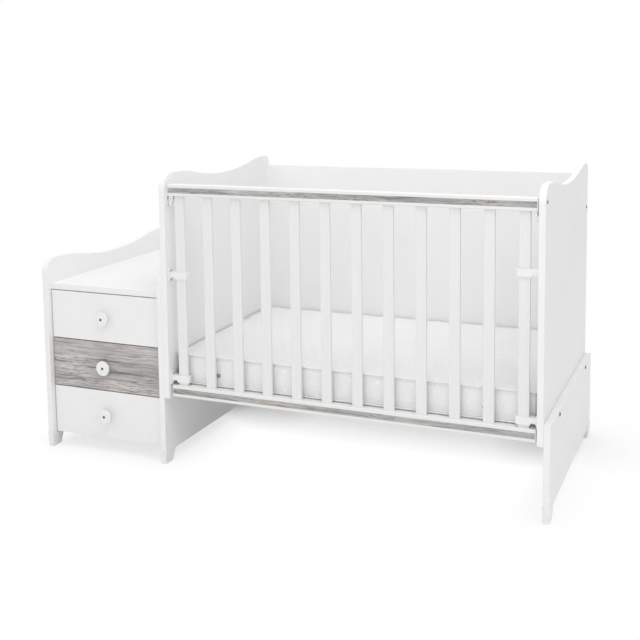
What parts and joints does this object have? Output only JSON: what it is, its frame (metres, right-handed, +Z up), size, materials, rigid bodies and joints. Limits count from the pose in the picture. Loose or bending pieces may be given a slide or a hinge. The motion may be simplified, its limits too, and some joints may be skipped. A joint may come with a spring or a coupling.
{
  "type": "convertible crib",
  "caption": "White convertible crib with a slatted drop side, mattress and wavy end panels, joined to a low chest of drawers with a grey wood-look drawer front.",
  "frame": {"origin": "on the floor, below the middle of the object's bounding box", "axes": "+X along the crib from the chest to the foot panel, +Y from the drop side to the rear wall, +Z up"},
  "size_m": [1.62, 0.744, 0.904],
  "materials": {
    "white_laminate": "satin white melamine on particle board",
    "white_lacquer": "satin white lacquer on solid wood",
    "grey_wood": "matt weathered grey oak decor with streaked grain",
    "hardboard": "smooth painted hardboard",
    "beech": "raw beech",
    "white_plastic": "fine matt white",
    "grey_plastic": "smooth grey",
    "coated_steel": "white powder coat",
    "dark_steel": "dark bronze coat",
    "bright_steel": "zinc plated",
    "mattress_cloth": "white quilted cotton"
  },
  "bodies": {
    "frame": {"back_panel_screws": "dark_steel", "base_cleats": "white_laminate", "cabinet_back_guard": "white_laminate", "cabinet_back_panel": "hardboard", "cabinet_bottom_board": "white_laminate", "cabinet_dowels": "beech", "cabinet_feet": "white_plastic", "cabinet_rollers": "grey_plastic", "cabinet_runners": "coated_steel", "cabinet_side_left": "white_laminate", "cabinet_side_right": "white_laminate", "cabinet_top_board": "white_laminate", "catch_keepers": "white_plastic", "clip_screws": "bright_steel", "crib_back_panel": "white_laminate", "crib_dowels": "beech", "end_panel_left": "white_laminate", "end_panel_right": "white_laminate", "foot_panel": "white_laminate", "foot_panel_feet": "white_plastic", "front_stretcher": "white_laminate", "guide_clips_bottom": "white_plastic", "guide_clips_mid": "white_plastic", "keeper_screws": "dark_steel", "mattress": "mattress_cloth", "mattress_base": "white_laminate", "mattress_eyelets": "grey_plastic", "panel_bolts": "dark_steel", "panel_nuts": "dark_steel"},
    "drop_side": {"drop_top_rail": "white_lacquer", "drop_bottom_rail": "white_lacquer", "drop_top_strip": "grey_wood", "drop_bottom_strip": "grey_wood", "drop_slats": "white_lacquer", "catch_brackets": "white_plastic", "catch_pins": "bright_steel"},
    "catch_left": {"catch_hook_left": "white_plastic"},
    "catch_right": {"catch_hook_right": "white_plastic"},
    "drawer_1": {"drawer_1_bottom": "hardboard", "drawer_1_box": "white_laminate", "drawer_1_front": "white_laminate", "drawer_1_knob": "white_plastic", "drawer_1_knob_screw": "dark_steel", "drawer_1_rollers": "grey_plastic", "drawer_1_runners": "coated_steel"},
    "drawer_2": {"drawer_2_bottom": "hardboard", "drawer_2_box": "white_laminate", "drawer_2_front": "grey_wood", "drawer_2_knob": "white_plastic", "drawer_2_knob_screw": "dark_steel", "drawer_2_rollers": "grey_plastic", "drawer_2_runners": "coated_steel"},
    "drawer_3": {"drawer_3_bottom": "hardboard", "drawer_3_box": "white_laminate", "drawer_3_front": "white_laminate", "drawer_3_knob": "white_plastic", "drawer_3_knob_screw": "dark_steel", "drawer_3_rollers": "grey_plastic", "drawer_3_runners": "coated_steel"}
  },
  "joints": [
    {"name": "drop_side_slide", "type": "slide", "parent": "frame", "child": "drop_side", "axis": [0, 0, -1], "range_m": [0, 0.11]},
    {"name": "catch_left_turn", "type": "hinge", "parent": "drop_side", "child": "catch_left", "pos_m": [-0.334, -0.341, 0.827], "axis": [0, -1, 0], "range_deg": [0, 18], "stiffness_Nm_per_rad": 0.05, "springref_deg": -8.59},
    {"name": "catch_right_turn", "type": "hinge", "parent": "drop_side", "child": "catch_right", "pos_m": [0.758, -0.341, 0.827], "axis": [0, 1, 0], "range_deg": [0, 18], "stiffness_Nm_per_rad": 0.05, "springref_deg": -8.59},
    {"name": "drawer_1_slide", "type": "slide", "parent": "frame", "child": "drawer_1", "axis": [0, -1, 0], "range_m": [0, 0.33]},
    {"name": "drawer_2_slide", "type": "slide", "parent": "frame", "child": "drawer_2", "axis": [0, -1, 0], "range_m": [0, 0.33]},
    {"name": "drawer_3_slide", "type": "slide", "parent": "frame", "child": "drawer_3", "axis": [0, -1, 0], "range_m": [0, 0.33]}
  ]
}
